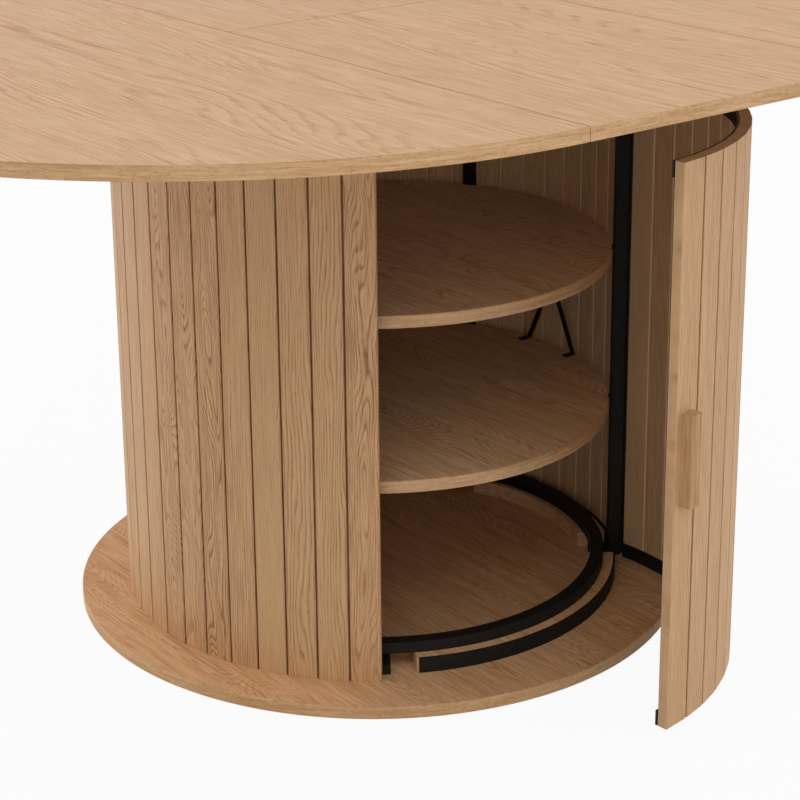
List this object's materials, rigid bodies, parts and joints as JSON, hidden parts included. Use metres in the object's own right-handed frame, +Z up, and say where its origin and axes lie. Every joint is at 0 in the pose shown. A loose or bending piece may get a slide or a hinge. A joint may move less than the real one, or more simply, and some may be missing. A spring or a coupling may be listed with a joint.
{
  "type": "extending dining table",
  "caption": "Round dining table that extends with a folding leaf, on a slatted column with a curved door, shelves and a round base.",
  "frame": {"origin": "on the floor, on the axis of the column", "axes": "+Z up, +X the way the top extends, +Y along the seams of the leaf; the door faces roughly -Y"},
  "size_m": [1.6164, 1.2, 0.74],
  "materials": {
    "oak": "satin oak veneer",
    "beech": "plain beech",
    "black_steel": "matt black powder coat",
    "steel": "zinc-plated",
    "brass": "brass-plated",
    "plastic": "matt nylon",
    "felt": "felt"
  },
  "bodies": {
    "frame": {"base_board": "oak", "base_edge_band": "oak", "catch_magnet": "steel", "door_stop": "black_steel", "doorway_strip": "black_steel", "fixed_rail_back": "beech", "fixed_rail_front": "beech", "floor_pads": "felt", "hinge_pins": "steel", "hinge_wall_leaves": "black_steel", "leaf_front_board": "oak", "leaf_front_edge_band": "oak", "leaf_front_hinge_cups": "brass", "leaf_pads": "plastic", "lower_ring": "black_steel", "lower_shelf_board": "oak", "lower_shelf_edge_band": "oak", "post_catch": "black_steel", "post_feet": "black_steel", "post_hinge": "black_steel", "post_left": "black_steel", "post_rear": "black_steel", "post_right": "black_steel", "rail_spreaders": "beech", "ring_block_doorway": "oak", "ring_block_left_front": "oak", "ring_block_left_rear": "oak", "ring_block_right_front": "oak", "ring_block_right_rear": "oak", "shelf_brace_bars": "black_steel", "shelf_brace_rivets": "steel", "shelf_pins": "steel", "slide_channels": "steel", "top_ring": "black_steel", "top_ring_screws": "steel", "upper_shelf_board": "oak", "upper_shelf_edge_band": "oak", "wall_band_lower": "black_steel", "wall_band_upper": "black_steel", "wall_slats_left": "oak", "wall_slats_rear": "oak", "wall_slats_right": "oak"},
    "door": {"door_band_lower": "black_steel", "door_band_upper": "black_steel", "door_handle": "oak", "door_slats": "oak", "hinge_door_leaves": "black_steel"},
    "near_half": {"near_half_battens": "beech", "near_half_board": "oak", "near_half_edge_band": "oak", "near_half_slide_bars": "steel"},
    "far_half": {"far_half_battens": "beech", "far_half_board": "oak", "far_half_edge_band": "oak", "far_half_slide_bars": "steel"},
    "leaf_back": {"leaf_back_board": "oak", "leaf_back_edge_band": "oak", "leaf_back_hinge_cups": "brass"}
  },
  "joints": [
    {"name": "door_hinge", "type": "hinge", "parent": "frame", "child": "door", "pos_m": [0.2669, -0.17399, 0.33], "axis": [0, 0, 1], "range_deg": [-41.7, 68.3]},
    {"name": "near_half_slide", "type": "slide", "parent": "frame", "child": "near_half", "axis": [-1, 0, 0], "range_m": [0, 0.02]},
    {"name": "far_half_slide", "type": "slide", "parent": "frame", "child": "far_half", "axis": [1, 0, 0], "range_m": [0, 0.02]},
    {"name": "leaf_fold", "type": "hinge", "parent": "frame", "child": "leaf_back", "pos_m": [0, 0, 0.7404], "axis": [1, 0, 0], "range_deg": [0, 180]}
  ]
}
